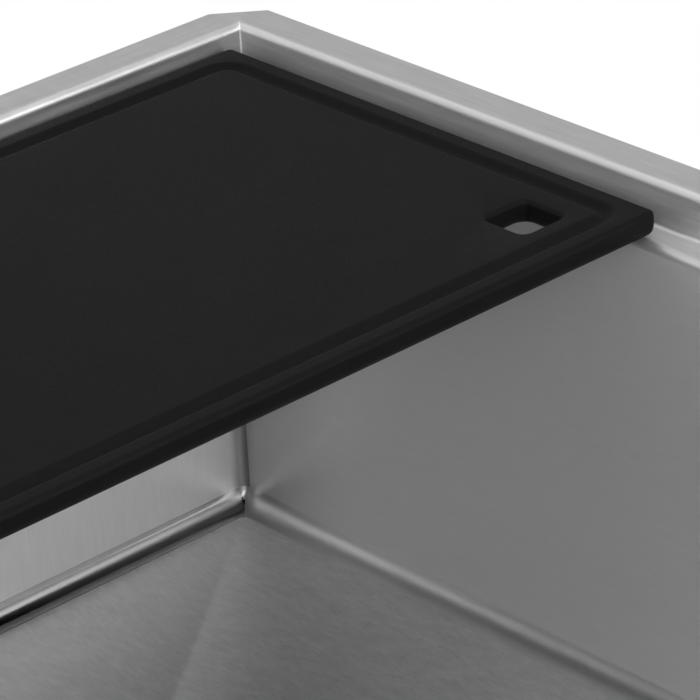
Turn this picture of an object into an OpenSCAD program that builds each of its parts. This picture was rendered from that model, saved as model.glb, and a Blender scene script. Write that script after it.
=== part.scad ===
// Undermount workstation kitchen sink with a sliding cutting board and a basket strainer.
// The origin is the centre of the bowl's opening, in the plane of the rim's top face.
// +X runs along the back wall, +Y points to the back and +Z points up.

/* [Rim] */
// Overall length of the rim, left to right
rim_length = 812.8; // [700:0.1:1000]
// Overall width of the rim, front to back
rim_width = 508; // [440:0.1:560]
// Width of the flat rim, from the wall's inner face to its outer edge
rim_flange = 20; // [14:0.5:40]
// Cut at each outer corner, measured along the short side
corner_cut_side = 22; // [5:0.5:30]
// Cut at each outer corner, measured along the long side
corner_cut_back = 18; // [5:0.5:30]

/* [Bowl] */
// Depth of the bowl at its walls
bowl_depth = 254; // [180:1:300]
// Thickness of the steel sheet
sheet_t = 1.5; // [0.8:0.1:2.5]
// Drop from the rim's top face to the ledges
ledge_drop = 22; // [16:0.5:40]
// Width of the ledge along the front wall and the back wall
ledge_width = 16; // [10:0.5:25]
// Inside radius of the sheet's bends at the rim and the ledges
bend_r = 2.5; // [1:0.1:3.5]
// Inside radius between the walls and the floor
floor_fillet = 10; // [5:0.5:15]
// Radius of the ground weld in the bowl's upright corners, below the ledges
weld_r = 4; // [1:0.5:6]

/* [Floor] */
// Distance from the left wall to the centre of the drain
drain_from_left = 164.4; // [120:0.1:500]
// Fall of the floor from the walls to the drain
floor_fall = 6; // [3:0.5:12]
// Diameter of the sunk seat round the drain
seat_d = 120; // [118:1:130]
// Depth of that seat below the lowest part of the floor
seat_drop = 2.5; // [1:0.5:5]
// Diameter of the drain hole
drain_hole_d = 90; // [89:0.5:94]

/* [Sound pads] */
// Thickness of the rubber pads stuck to the outside of the bowl
pad_t = 3; // [1.5:0.5:5]
// Distance from the ends of the walls to the pads
pad_inset = 60; // [40:1:80]
// Height of the bare strip above and below the wall pads
pad_margin = 34; // [20:1:50]
// Bare space between the floor pads and the drain's centre
pad_drain_gap = 78; // [70:1:90]
// Bare strip between the floor pads and the bends
pad_floor_inset = 12; // [5:1:30]

/* [Cutting board] */
// Width of the board along the sink
board_width = 278.6; // [200:1:350]
// Thickness of the board
board_t = 12.5; // [10:0.5:15]
// Space between the board's ends and the walls above the ledges
board_end_gap = 8.2; // [4:0.1:9.5]
// Space between the board and the left wall at rest, and the right wall at full travel
board_side_gap = 0.6; // [0.5:0.1:3]
// Radius of the board's upright corners
board_corner_r = 5; // [2:0.5:12]
// Radius of the board's top edges
board_edge_r = 4; // [1:0.5:5]
// Radius of the bottom edges along the board's left and right sides
board_foot_r = 6; // [1:0.5:7]
// Radius of the bottom edges at the board's ends, which lie on the ledges
board_end_foot_r = 2; // [0.5:0.5:2.5]
// Distance from the board's edge to the middle of the juice groove
groove_inset = 13; // [10:0.1:16]
// Width of the juice groove at the surface
groove_w = 8.8; // [4:0.1:9]
// Depth of the juice groove
groove_depth = 2.5; // [2:0.1:3.5]
// Radius of the groove's middle line at its corners
groove_corner_r = 9; // [8:0.5:20]
// Side of the finger hole
hole_size = 25; // [20:0.5:40]
// Radius of the finger hole's corners
hole_corner_r = 5; // [2:0.5:8]
// Bevel round the top of the finger hole
hole_bevel = 1.5; // [0.5:0.1:3]
// Distance from the board's right edge to the finger hole
hole_from_side = 26.5; // [21:0.5:60]
// Distance from the board's back edge to the finger hole
hole_from_back = 29.6; // [21:0.1:120]

/* [Strainer body] */
// Space between the strainer's flange and the wall of the drain seat
flange_gap = 3; // [1:0.5:5]
// Thickness of that flange
flange_t = 1.8; // [1.2:0.1:2.5]
// Outside diameter of the threaded cup
cup_d = 87; // [86:0.1:88]
// Wall of the cup
cup_wall = 2.5; // [1.5:0.1:3.5]
// Depth of the cup's straight wall
cup_depth = 48; // [44:1:60]
// Height of the cone that the seal closes on
cone_h = 8; // [6:0.5:10]
// Outside diameter of the threaded outlet
outlet_d = 47.4; // [46:0.1:48]
// Wall of the outlet
outlet_wall = 3.6; // [2:0.1:4]
// Length of the outlet below the cup
outlet_l = 17; // [12:1:25]
// Width of the bars across the outlet
bar_w = 4; // [2:0.5:6]
// Height of the bars across the outlet
bar_h = 3; // [2:0.5:5]
// Diameter of the hub where the bars cross
hub_d = 13; // [10:0.5:16]

/* [Strainer fixings] */
// Thickness of the gasket under the flange
gasket_t = 1.2; // [0.8:0.1:3]
// Thickness of the rubber washer under the bowl
rubber_t = 3; // [2:0.5:5]
// Thickness of the fibre washer under the rubber one
fibre_t = 0.8; // [0.5:0.1:2]
// Outside diameter of both washers
washer_d = 114; // [104:1:118]
// Height of the locknut
locknut_h = 12; // [8:1:18]
// Outside diameter of the locknut's ring
locknut_d = 104; // [98:1:110]
// Number of lugs on the locknut
locknut_lugs = 8; // [4:1:12]
// Width of a lug
lug_w = 10; // [6:1:14]
// Reach of a lug beyond the ring
lug_reach = 4; // [2:0.5:6]
// Height of a lug
lug_h = 8; // [6:0.5:8]

/* [Basket] */
// Space between the basket's rim and the cup
basket_gap = 0.7; // [0.4:0.1:1]
// Drop from the flange's top to the basket's rim
basket_drop = 2; // [1.5:0.5:5]
// How far the basket's wall leans in from rim to bottom
basket_lean = 4; // [1:0.5:6]
// Thickness of the basket's sheet
basket_t = 0.8; // [0.6:0.1:1.2]
// Diameter of the drain holes in the basket
basket_hole_d = 4; // [2:0.5:5]
// Distance between the rings of holes in the basket's bottom
hole_ring_step = 7.5; // [6.5:0.5:10]
// Number of slots round the basket's wall
wall_slots = 24; // [12:1:30]
// Width of a wall slot
slot_w = 3; // [2:0.5:4]
// Length of a wall slot
slot_l = 16; // [8:1:18]
// Diameter of the basket's post
post_d = 6; // [5:0.5:8]
// Diameter of the knob
knob_d = 22; // [16:1:30]
// Height of the knob
knob_h = 10; // [8:1:14]
// Height of the knob's top above the strainer's flange
knob_rise = 5; // [2:0.5:8]
// Diameter of the rubber seal
seal_d = 68; // [66:0.5:72]
// Thickness of the rubber seal
seal_t = 3.5; // [2.5:0.5:4]
// Space between the seal and the basket's bottom
seal_drop = 6; // [4:0.5:9]
// Diameter of the retaining nut under the seal
retainer_d = 16; // [12:1:20]
// Height of the retaining nut
retainer_h = 3; // [2:0.5:3.5]

/* [Tailpiece] */
// Outside diameter of the tailpiece
tail_d = 38.1; // [37:0.1:39]
// Wall of the tailpiece
tail_wall = 1.2; // [0.8:0.1:2]
// Length of the tailpiece
tail_l = 101.6; // [60:0.1:150]
// Thickening of the tailpiece's neck, where the coupling nut's lip goes round it
tail_neck_t = 0.2; // [0.1:0.1:0.25]
// Length of the neck below the coupling nut
tail_neck_l = 4; // [2:1:10]
// Diameter of the tailpiece's flange
tail_flange_d = 45; // [44:0.5:46]
// Thickness of the tailpiece's flange
tail_flange_t = 2; // [1.2:0.1:3]
// Thickness of the washer between the outlet and the tailpiece
tail_washer_t = 1.5; // [1:0.1:3]
// Outside diameter of the coupling nut
coupling_d = 58; // [56:1:66]
// Height of the coupling nut's threaded part above the tailpiece's flange
coupling_grip = 11; // [6:1:14]
// Thickness of the coupling nut's bottom lip
coupling_lip = 3; // [2:0.5:4]
// Number of grips round the coupling nut
coupling_grips = 12; // [6:1:18]
// Diameter of the hollow between two grips
grip_hollow_d = 6; // [3:0.5:8]

/* [Hidden] */
$fn = 96;

// One overrun for every cut, and the clearances between parts that fit
cut = 5;
thread_gap = 0.05;
seat_gap = 0.3;

// Bowl: half sizes of the opening, of the space below the ledges, and of the rim
open_x = rim_length / 2 - rim_flange;
open_y = rim_width / 2 - rim_flange;
bowl_y = open_y - ledge_width;
rim_x = rim_length / 2;
rim_y = rim_width / 2;
outer_bend_r = bend_r + sheet_t;

// Floor: half sizes of its sloping part, and the drain
floor_x = open_x - floor_fillet;
floor_y = bowl_y - floor_fillet;
drain_x = drain_from_left - open_x;
seat_z = -(bowl_depth + floor_fall + seat_drop);

// Sound pads on the walls
pad_h = bowl_depth - ledge_drop - 2 * pad_margin;

// Board: its place at rest and the circle that cuts the groove
board_x0 = board_side_gap - open_x;
board_x1 = board_x0 + board_width;
board_y = open_y - board_end_gap;
board_top = board_t - ledge_drop;
groove_r = (groove_w * groove_w / 4 + groove_depth * groove_depth) / (2 * groove_depth);
groove_z = board_top - groove_depth + groove_r;
groove_x0 = board_x0 + groove_inset;
groove_x1 = board_x1 - groove_inset;
groove_y = board_y - groove_inset;
hole_x = board_x1 - hole_from_side - hole_size / 2;
hole_y = board_y - hole_from_back - hole_size / 2;

// Strainer: its flange, and heights of the body, counted down from the flange's top
flange_d = seat_d - 2 * flange_gap;
flange_z = seat_z + gasket_t + flange_t;
cone_z = flange_z - cup_depth;
plate_z = cone_z - cone_h;
outlet_z = plate_z - cup_wall;
outlet_end = outlet_z - outlet_l;
cup_in = cup_d / 2 - cup_wall;
outlet_in = outlet_d / 2 - outlet_wall;
cone_in = outlet_in + cup_wall;
bar_reach = outlet_in + outlet_wall / 2;
under_seat = seat_z - sheet_t;
fibre_z = under_seat - rubber_t - fibre_t;
locknut_z = fibre_z - locknut_h;

// Basket: the seal rests just clear of the cone, and the basket stands over it
basket_r = cup_in - basket_gap;
basket_foot_r = basket_r - basket_lean;
basket_rim_z = flange_z - basket_drop;
seal_z = plate_z + (seal_d / 2 - cone_in) * cone_h / (cup_in - cone_in) + seat_gap;
basket_z = seal_z + seal_t + seal_drop;
retainer_z = seal_z - retainer_h;
knob_z = flange_z + knob_rise - knob_h;
post_foot_z = plate_z - bar_h;
basket_lip = 2;
collar_d = 12;
knob_cap = 5;
knob_grip = 6;

// Tailpiece and its nut
tail_top = outlet_end - tail_washer_t;
tail_lip_z = tail_top - tail_flange_t;
tail_z = tail_top - tail_l;
coupling_z = tail_lip_z - coupling_lip;
coupling_h = coupling_lip + tail_flange_t + tail_washer_t + coupling_grip;

// Stretch a flat outline, drawn across and up, along X or along Y
module along_x(l) {
    rotate([90, 0, 90]) linear_extrude(l, center = true) children();
}

module along_y(l) {
    rotate([90, 0, 0]) linear_extrude(l, center = true) children();
}

// A ring standing on height z
module ring(r_out, r_in, z, h) {
    translate([0, 0, z]) difference() {
        cylinder(r = r_out, h = h);
        translate([0, 0, -cut]) cylinder(r = r_in, h = h + 2 * cut);
    }
}

// A trough's outline with rounded bottom corners, from above height zero down
module trough(half, depth, r, over) {
    translate([r - half, -depth]) square([2 * (half - r), depth + over]);
    translate([-half, r - depth]) square([2 * half, depth - r + over]);
    for (side = [-1, 1]) translate([side * (half - r), r - depth]) circle(r);
}

// The space that a rounded fold adds to an outline, on both sides
module fold(half, drop, r) {
    for (side = [0, 1]) mirror([side, 0]) difference() {
        translate([half - r, -drop - r]) square([2 * r, r + sheet_t]);
        translate([half + r, -drop - r]) circle(r);
    }
}

// Outline across the sink: its inside (grow = 0), or the outside of its sheet
module across(grow) {
    over = grow == 0 ? cut : 0;
    trough(bowl_y + grow, bowl_depth + grow, floor_fillet + grow, 0);
    trough(open_y + grow, ledge_drop + grow, bend_r + grow, over);
    fold(bowl_y + grow, ledge_drop + grow, outer_bend_r - grow);
    fold(open_y + grow, grow, outer_bend_r - grow);
    if (grow > 0) translate([-rim_y, -grow]) square([2 * rim_y, grow]);
}

// Outline along the sink, which has no ledges at its ends
module lengthways(grow) {
    over = grow == 0 ? cut : 0;
    trough(open_x + grow, bowl_depth + grow, floor_fillet + grow, over);
    fold(open_x + grow, grow, outer_bend_r - grow);
    if (grow > 0) translate([-rim_x, -grow]) square([2 * rim_x, grow]);
}

// The rim's outline from above, with its corners cut
module rim_outline() {
    polygon([for (s = [[1, 1], [-1, 1], [-1, -1], [1, -1]])
        each (s.x * s.y > 0 ? [side_corner(s), end_corner(s)] : [end_corner(s), side_corner(s)])]);
}

function side_corner(s) = [s.x * rim_x, s.y * (rim_y - corner_cut_side)];
function end_corner(s) = [s.x * (rim_x - corner_cut_back), s.y * rim_y];

// Everything inside the rim's outline, from under the bowl up to the rim's face
module rim_block() {
    translate([0, 0, seat_z - cut]) linear_extrude(cut - seat_z) rim_outline();
}

// The space over the sloping floor, whose four slopes meet at the drain
module pan(grow, top) {
    low = -bowl_depth - grow;
    intersection() {
        along_y(2 * floor_y) polygon([[-floor_x, top], [-floor_x, low], [drain_x, low - floor_fall],
                                      [floor_x, low], [floor_x, top]]);
        along_x(2 * floor_x) polygon([[-floor_y, top], [-floor_y, low], [0, low - floor_fall],
                                      [floor_y, low], [floor_y, top]]);
    }
}

// Front wall, floor and back wall with both ledges, folded from one sheet
module bowl_wrap() {
    color("silver") difference() {
        union() {
            intersection() {
                along_x(rim_length) difference() {
                    across(sheet_t);
                    across(0);
                }
                along_y(rim_width) {
                    lengthways(0);
                    translate([-floor_x, seat_z]) square([2 * floor_x, -seat_z]);
                }
                rim_block();
            }
            pan(sheet_t, -bowl_depth);
            translate([drain_x, 0, seat_z - sheet_t])
                cylinder(r = seat_d / 2 + sheet_t, h = sheet_t - seat_z - bowl_depth);
        }
        pan(0, cut - bowl_depth);
        translate([drain_x, 0, seat_z]) cylinder(r = seat_d / 2, h = cut - seat_z - bowl_depth);
        translate([drain_x, 0, seat_z - sheet_t - cut]) cylinder(d = drain_hole_d, h = 2 * cut + sheet_t);
    }
}

// One end wall with its part of the rim and of the floor, and the ground welds in its corners
module end_panel() {
    intersection() {
        along_y(rim_width) difference() {
            lengthways(sheet_t);
            lengthways(0);
        }
        along_x(rim_length) across(sheet_t);
        rim_block();
        translate([floor_x, -rim_y, seat_z]) cube([rim_x - floor_x, 2 * rim_y, -seat_z]);
    }
    intersection() {
        translate([0, 0, -bowl_depth]) linear_extrude(bowl_depth - ledge_drop - outer_bend_r)
            for (side = [0, 1]) mirror([0, side]) difference() {
                translate([open_x - weld_r, bowl_y - weld_r]) square(weld_r);
                translate([open_x - weld_r, bowl_y - weld_r]) circle(weld_r);
            }
        along_x(rim_length) across(0);
        along_y(rim_width) lengthways(0);
    }
}

module left_end_panel() {
    color("silver") mirror([1, 0, 0]) end_panel();
}

module right_end_panel() {
    color("silver") end_panel();
}

// Rubber pads that deaden the sound of the long walls, the end walls and the floor
module long_wall_pad() {
    translate([pad_inset - open_x, bowl_y + sheet_t, pad_margin - bowl_depth])
        cube([2 * (open_x - pad_inset), pad_t, pad_h]);
}

module end_wall_pad() {
    translate([open_x + sheet_t, pad_inset - bowl_y, pad_margin - bowl_depth])
        cube([pad_t, 2 * (bowl_y - pad_inset), pad_h]);
}

module floor_pad(x0, x1) {
    intersection() {
        difference() {
            pan(sheet_t + pad_t, -bowl_depth);
            pan(sheet_t, cut - bowl_depth);
        }
        translate([x0, pad_floor_inset - floor_y, seat_z - pad_t - cut])
            cube([x1 - x0, 2 * (floor_y - pad_floor_inset), cut + pad_t - seat_z]);
    }
}

module front_wall_pad() {
    color("dimgray") mirror([0, 1, 0]) long_wall_pad();
}

module back_wall_pad() {
    color("dimgray") long_wall_pad();
}

module left_wall_pad() {
    color("dimgray") mirror([1, 0, 0]) end_wall_pad();
}

module right_wall_pad() {
    color("dimgray") end_wall_pad();
}

module left_floor_pad() {
    color("dimgray") floor_pad(pad_floor_inset - floor_x, drain_x - pad_drain_gap);
}

module right_floor_pad() {
    color("dimgray") floor_pad(drain_x + pad_drain_gap, floor_x - pad_floor_inset);
}

// A rounded rectangle between two corners
module rounded(x0, x1, y0, y1, r) {
    translate([x0 + r, y0]) square([x1 - x0 - 2 * r, y1 - y0]);
    translate([x0, y0 + r]) square([x1 - x0, y1 - y0 - 2 * r]);
    for (x = [x0 + r, x1 - r], y = [y0 + r, y1 - r]) translate([x, y]) circle(r);
}

// The board's outline from one side, with its top and bottom edges rounded
module board_side(a0, a1, foot_r) {
    intersection() {
        rounded(a0, a1, -ledge_drop - 2 * board_edge_r, board_top, board_edge_r);
        rounded(a0, a1, -ledge_drop, board_top + 2 * foot_r, foot_r);
    }
}

// The round tool that leaves the juice groove, run once round the board
module groove() {
    mid_x = (groove_x0 + groove_x1) / 2;
    run_x = groove_x1 - groove_x0 - 2 * groove_corner_r;
    run_y = 2 * (groove_y - groove_corner_r);
    translate([mid_x, 0, groove_z]) for (side = [0, 1]) mirror([side, 0, 0]) {
        translate([run_x / 2 + groove_corner_r, 0, 0]) along_y(run_y) circle(groove_r);
        for (end = [0, 1]) mirror([0, end, 0]) {
            translate([0, groove_y, 0]) along_x(run_x) circle(groove_r);
            translate([run_x / 2, run_y / 2, 0])
                rotate_extrude(angle = 90) translate([groove_corner_r, 0]) circle(groove_r);
        }
    }
}

// One side view of the finger hole's bevel
module bevel_side() {
    polygon([[-hole_size / 2, -hole_bevel], [-hole_size / 2 - hole_bevel - cut, cut],
             [hole_size / 2 + hole_bevel + cut, cut], [hole_size / 2, -hole_bevel]]);
}

module cutting_board() {
    color([0.12, 0.12, 0.13]) difference() {
        intersection() {
            translate([0, 0, -ledge_drop]) linear_extrude(board_t)
                rounded(board_x0, board_x1, -board_y, board_y, board_corner_r);
            along_y(rim_width) board_side(board_x0, board_x1, board_foot_r);
            along_x(rim_length) board_side(-board_y, board_y, board_end_foot_r);
        }
        groove();
        translate([hole_x, hole_y, -ledge_drop - cut]) linear_extrude(board_t + 2 * cut)
            rounded(-hole_size / 2, hole_size / 2, -hole_size / 2, hole_size / 2, hole_corner_r);
        translate([hole_x, hole_y, board_top]) intersection() {
            along_x(hole_size + 2 * hole_bevel + 2 * cut) bevel_side();
            along_y(hole_size + 2 * hole_bevel + 2 * cut) bevel_side();
        }
    }
}

// Flanged cup of the strainer, with its seat cone, its crossed bars and its threaded outlet
module strainer_body() {
    color("lightgray") translate([drain_x, 0, 0]) {
        rotate_extrude() polygon([
            [flange_d / 2, flange_z], [cup_in + flange_t, flange_z], [cup_in, flange_z - flange_t],
            [cup_in, cone_z], [cone_in, plate_z], [outlet_in, plate_z], [outlet_in, outlet_end],
            [outlet_d / 2, outlet_end], [outlet_d / 2, outlet_z], [cone_in + cup_wall, outlet_z],
            [cup_d / 2, cone_z], [cup_d / 2, flange_z - flange_t], [flange_d / 2, flange_z - flange_t]]);
        translate([0, 0, plate_z - bar_h]) difference() {
            union() {
                for (turn = [0, 90]) rotate(turn)
                    translate([-bar_reach, -bar_w / 2, 0]) cube([2 * bar_reach, bar_w, bar_h]);
                cylinder(d = hub_d, h = bar_h);
            }
            translate([0, 0, -cut]) cylinder(r = post_d / 2 + seat_gap, h = bar_h + 2 * cut);
        }
    }
}

module flange_gasket() {
    color("darkslategray") translate([drain_x, 0, 0])
        ring(flange_d / 2, drain_hole_d / 2, seat_z, gasket_t);
}

module rubber_washer() {
    color("black") translate([drain_x, 0, 0])
        ring(washer_d / 2, cup_d / 2 + seat_gap, under_seat - rubber_t, rubber_t);
}

module fibre_washer() {
    color("tan") translate([drain_x, 0, 0])
        ring(washer_d / 2, cup_d / 2 + seat_gap, fibre_z, fibre_t);
}

// Ring nut with lugs, screwed up the cup against the washers
module locknut() {
    color("gray") translate([drain_x, 0, locknut_z]) difference() {
        union() {
            cylinder(d = locknut_d, h = locknut_h);
            for (i = [0 : locknut_lugs - 1]) rotate(i * 360 / locknut_lugs)
                translate([0, -lug_w / 2, 0]) cube([locknut_d / 2 + lug_reach, lug_w, lug_h]);
        }
        translate([0, 0, -cut]) cylinder(r = cup_d / 2 + thread_gap, h = locknut_h + 2 * cut);
    }
}

// Perforated cup that catches the scraps
module strainer_basket() {
    color("silver") translate([drain_x, 0, 0]) difference() {
        rotate_extrude() polygon([
            [basket_r, basket_rim_z], [basket_foot_r, basket_z], [post_d / 2, basket_z],
            [post_d / 2, basket_z + basket_t], [basket_foot_r - basket_t, basket_z + basket_t],
            [basket_r - basket_t, basket_rim_z - basket_t],
            [basket_r - basket_lip, basket_rim_z - basket_t], [basket_r - basket_lip, basket_rim_z]]);
        for (ring = [2 : floor((basket_foot_r - basket_hole_d) / hole_ring_step)]) {
            holes = floor(2 * PI * ring);
            for (i = [0 : holes - 1]) rotate(i * 360 / holes)
                translate([ring * hole_ring_step, 0, basket_z - cut])
                    cylinder(d = basket_hole_d, h = basket_t + 2 * cut, $fn = 24);
        }
        for (i = [0 : wall_slots - 1]) rotate(i * 360 / wall_slots)
            translate([basket_foot_r - basket_lip, -slot_w / 2, (basket_z + basket_rim_z - slot_l) / 2])
                cube([basket_lean + 2 * basket_lip, slot_w, slot_l]);
    }
}

// Rod from the knob down to the hub of the crossed bars, with the collar that spaces the seal
module basket_post() {
    color("silver") translate([drain_x, 0, 0]) {
        translate([0, 0, post_foot_z]) cylinder(d = post_d, h = knob_z + knob_grip - post_foot_z);
        translate([0, 0, seal_z + seal_t]) cylinder(d = collar_d, h = basket_z - seal_z - seal_t);
    }
}

module basket_knob() {
    color([0.15, 0.15, 0.16]) translate([drain_x, 0, knob_z]) difference() {
        rotate_extrude() intersection() {
            union() {
                square([collar_d / 2, knob_h]);
                rounded(-knob_d / 2, knob_d / 2, knob_h - knob_cap, knob_h, knob_cap / 3);
            }
            square([knob_d, knob_h]);
        }
        translate([0, 0, -cut]) cylinder(r = post_d / 2 + thread_gap, h = knob_grip + cut);
    }
}

module basket_seal() {
    color("black") translate([drain_x, 0, 0]) ring(seal_d / 2, post_d / 2 + thread_gap, seal_z, seal_t);
}

module basket_retainer() {
    color("silver") translate([drain_x, 0, 0])
        ring(retainer_d / 2, post_d / 2 + thread_gap, retainer_z, retainer_h);
}

module tailpiece_washer() {
    color("white") translate([drain_x, 0, 0]) ring(tail_flange_d / 2, outlet_in, tail_top, tail_washer_t);
}

module tailpiece() {
    color("lightgray") translate([drain_x, 0, 0]) difference() {
        union() {
            translate([0, 0, tail_lip_z]) cylinder(d = tail_flange_d, h = tail_flange_t);
            translate([0, 0, coupling_z - tail_neck_l])
                cylinder(r = tail_d / 2 + tail_neck_t, h = tail_lip_z - coupling_z + tail_neck_l);
            translate([0, 0, tail_z]) cylinder(d = tail_d, h = tail_l);
        }
        translate([0, 0, tail_z - cut]) cylinder(r = tail_d / 2 - tail_wall, h = tail_l + 2 * cut);
    }
}

// Nut that pulls the tailpiece's flange up against the outlet
module coupling_nut() {
    color("gray") translate([drain_x, 0, coupling_z]) difference() {
        cylinder(d = coupling_d, h = coupling_h);
        translate([0, 0, -cut]) cylinder(r = tail_d / 2 + seat_gap, h = coupling_h);
        translate([0, 0, coupling_lip]) cylinder(r = outlet_d / 2 + thread_gap, h = coupling_h);
        for (i = [0 : coupling_grips - 1]) rotate(i * 360 / coupling_grips)
            translate([coupling_d / 2 + grip_hollow_d / 4, 0, -cut])
                cylinder(d = grip_hollow_d, h = coupling_h + 2 * cut);
    }
}

bowl_wrap();
left_end_panel();
right_end_panel();
front_wall_pad();
back_wall_pad();
left_wall_pad();
right_wall_pad();
left_floor_pad();
right_floor_pad();
cutting_board();
strainer_body();
flange_gasket();
rubber_washer();
fibre_washer();
locknut();
strainer_basket();
basket_post();
basket_knob();
basket_seal();
basket_retainer();
tailpiece_washer();
tailpiece();
coupling_nut();
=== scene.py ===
# Looks of the workstation kitchen sink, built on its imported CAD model.
# Sizes in the dictionaries are millimetres in the sink's own frame: the origin is the middle of the opening
# in the rim's top face, +X runs along the back wall, +Y to the back and +Z up.
import math

import bmesh
import bpy
from mathutils import Matrix, Vector


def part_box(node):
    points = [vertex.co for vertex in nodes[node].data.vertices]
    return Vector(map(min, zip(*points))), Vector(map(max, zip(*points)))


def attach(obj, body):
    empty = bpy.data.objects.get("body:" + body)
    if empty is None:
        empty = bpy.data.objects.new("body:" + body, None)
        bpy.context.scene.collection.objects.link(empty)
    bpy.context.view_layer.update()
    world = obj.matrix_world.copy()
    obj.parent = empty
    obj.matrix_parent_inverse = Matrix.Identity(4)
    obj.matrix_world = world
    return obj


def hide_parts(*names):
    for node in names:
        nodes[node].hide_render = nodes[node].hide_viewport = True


mm = 0.001
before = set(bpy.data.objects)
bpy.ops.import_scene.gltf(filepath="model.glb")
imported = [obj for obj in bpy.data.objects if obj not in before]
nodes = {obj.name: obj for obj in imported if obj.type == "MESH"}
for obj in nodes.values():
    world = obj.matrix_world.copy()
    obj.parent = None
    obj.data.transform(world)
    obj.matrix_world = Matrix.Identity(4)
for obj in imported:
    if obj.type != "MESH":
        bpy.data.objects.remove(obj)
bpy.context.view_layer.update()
scene = bpy.context.scene
print("frame loaded:", len(nodes), "nodes")


# Small helpers for meshes

cornerTurns, sideSteps = 6, (12, 20)
# Near its corners a side has points at these distances in mm, but never past these shares of its length
nearCorner = ((5, 0.1), (10, 0.15), (16, 0.2), (24, 0.25), (34, 0.3))


def outlineRing(halfX, halfY, z, corner, straightCut=False, centre=(0, 0), turns=cornerTurns, steps=sideSteps):
    # A rectangle's outline as points, with rounded or straight-cut corners. Outlines with the same turns and steps
    # have the same count of points, whatever their size
    cutX, cutY = corner if isinstance(corner, tuple) else (corner, corner)

    def cornerPoints(signX, signY):
        points = []
        for i in range(turns + 1):
            share = i / turns
            if straightCut:
                x, y = halfX - cutX * share, halfY - cutY * (1 - share)
            else:
                turn = share * math.pi / 2
                x, y = halfX - cutX * (1 - math.cos(turn)), halfY - cutY * (1 - math.sin(turn))
            points.append((signX * x, signY * y))
        return points if signX * signY > 0 else points[::-1]

    def sidePoints(start, end, count):
        length = math.dist(start, end)
        near = [min(reach / length, most) for reach, most in nearCorner]
        middle = [near[-1] + (1 - 2 * near[-1]) * i / count for i in range(1, count)]
        shares = near + middle + [1 - share for share in near[::-1]]
        return [(start[0] + (end[0] - start[0]) * s, start[1] + (end[1] - start[1]) * s) for s in shares]

    corners = [cornerPoints(*sign) for sign in ((1, 1), (-1, 1), (-1, -1), (1, -1))]
    ring = []
    for i, points in enumerate(corners):
        ring += sidePoints(corners[i - 1][-1], points[0], steps[i % 2]) + points
    return [(centre[0] + x, centre[1] + y, z) for x, y in ring]


def startRing(bm, points):
    ring = bmesh.ops.create_circle(bm, cap_ends=False, segments=len(points), radius=1)["verts"]
    for vert, point in zip(ring, points):
        vert.co = point
    return ring


def extrudeRing(bm, ring, points, closed=True):
    # Extrudes a ring's or a chain's edges and takes the new edge to the next outline
    pairs = list(zip(ring, ring[1:])) + ([(ring[-1], ring[0])] if closed else [])
    made = bmesh.ops.extrude_edge_only(bm, edges=[bm.edges.get(pair) for pair in pairs])["geom"]
    fresh = {item for item in made if isinstance(item, bmesh.types.BMVert)}
    following = [next(e.other_vert(v) for e in v.link_edges if e.other_vert(v) in fresh) for v in ring]
    for vert, point in zip(following, points):
        vert.co = point
    return following


def ringEdges(bm, ring):
    return [bm.edges.get(pair) for pair in zip(ring, ring[1:] + ring[:1])]


def spinProfile(bm, profile, centre, steps=120):
    # Turns a closed outline of (radius, height) points once round a vertical axis
    verts = [bm.verts.new((centre[0] + r, centre[1], z)) for r, z in profile]
    edges = [bm.edges.new(pair) for pair in zip(verts, verts[1:] + verts[:1])]
    bmesh.ops.spin(bm, geom=verts + edges, cent=(*centre, 0), axis=(0, 0, 1), angle=2 * math.pi, steps=steps,
                   use_merge=True)
    bmesh.ops.remove_doubles(bm, verts=bm.verts, dist=0.01)


def roundCorners(profile, radius, steps=4):
    # Rounds each corner of a closed outline with a small arc, as a tumbled or moulded edge has
    mostOfSide = 0.45
    rounded = []
    for i, here in enumerate(profile):
        back, on = Vector(profile[i - 1]), Vector(profile[(i + 1) % len(profile)])
        here = Vector(here)
        toBack, toOn = back - here, on - here
        reach = min(radius, toBack.length * mostOfSide, toOn.length * mostOfSide)
        start, end = here + toBack.normalized() * reach, here + toOn.normalized() * reach
        for j in range(steps + 1):
            t = j / steps
            rounded.append(tuple(start * (1 - t) ** 2 + here * 2 * t * (1 - t) + end * t ** 2))
    return rounded


def finishPiece(bm, name, body, materials, replaced=(), sharpAngle=32, closed=True):
    if closed:
        bmesh.ops.recalc_face_normals(bm, faces=bm.faces)
    for face in bm.faces:
        face.smooth = True
    for edge in bm.edges:
        if len(edge.link_faces) == 2 and edge.calc_face_angle(0) > math.radians(sharpAngle):
            edge.smooth = False
    bmesh.ops.scale(bm, vec=(mm, mm, mm), verts=bm.verts)
    mesh = bpy.data.meshes.new(name)
    bm.to_mesh(mesh)
    bm.free()
    piece = bpy.data.objects.new(name, mesh)
    scene.collection.objects.link(piece)
    for material in materials:
        mesh.materials.append(material)
    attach(piece, body)
    if replaced:
        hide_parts(*replaced)
    return piece


def copyOfNode(name):
    # A CAD node's mesh as one connected shell with flat faces made whole, for a piece that refines it
    bm = bmesh.new()
    bm.from_mesh(nodes[name].data)
    bmesh.ops.scale(bm, vec=(1 / mm,) * 3, verts=bm.verts)
    bmesh.ops.remove_doubles(bm, verts=bm.verts, dist=0.002)
    bmesh.ops.dissolve_limit(bm, angle_limit=math.radians(0.5), verts=bm.verts, edges=bm.edges)
    bmesh.ops.recalc_face_normals(bm, faces=bm.faces)
    return bm


def bevelEdges(bm, width, angle=50, segments=3, test=lambda edge: True):
    sharp = math.radians(angle)
    edges = [e for e in bm.edges if len(e.link_faces) == 2 and e.calc_face_angle(0) > sharp and test(e)]
    bmesh.ops.bevel(bm, geom=edges, offset=width, offset_type="OFFSET", segments=segments, profile=0.5,
                    affect="EDGES", clamp_overlap=True, material=-1)


# Small helpers for materials

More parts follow.
